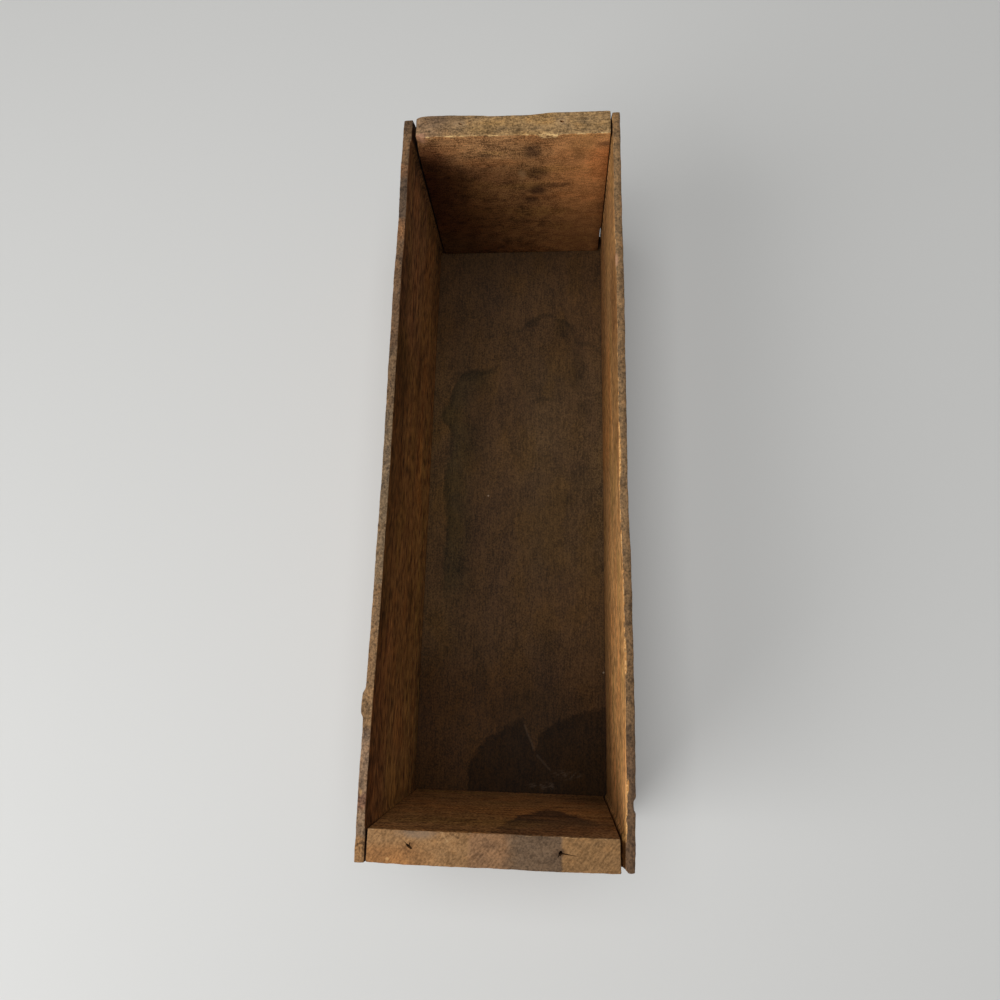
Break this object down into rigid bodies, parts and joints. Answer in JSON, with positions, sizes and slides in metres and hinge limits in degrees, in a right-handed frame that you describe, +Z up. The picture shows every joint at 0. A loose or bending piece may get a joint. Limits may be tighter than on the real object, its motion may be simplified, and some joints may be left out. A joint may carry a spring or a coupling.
{
  "type": "wooden cheese box",
  "caption": "Long open-topped wooden cheese box: thin side boards and a thin bottom nailed to thick end boards, aged brown and stained, with its nailed-on lid missing.",
  "frame": {"origin": "centre of the underside of the bottom board, on the surface that the box stands on", "axes": "+X across the box to its right side, +Y along the box from its near end to its far end, +Z up out of the open top"},
  "size_m": [0.094, 0.298, 0.0913],
  "materials": {
    "side_wood": "bare thin board, aged warm brown, worn along the rim",
    "end_wood": "bare sawn board, aged brown, rough and grey on its top edge",
    "bottom_wood": "bare thin board, darkened by use, with water stains",
    "nail_iron": "plain wire nail, rusted dark brown"
  },
  "bodies": {
    "root": {"bottom_board": "bottom_wood", "near_end": "end_wood", "far_end": "end_wood", "left_side": "side_wood", "right_side": "side_wood", "nails_near_left": "nail_iron", "nails_near_right": "nail_iron", "nails_far_left": "nail_iron", "nails_far_right": "nail_iron", "nails_bottom_near": "nail_iron", "nails_bottom_far": "nail_iron"}
  },
  "joints": []
}
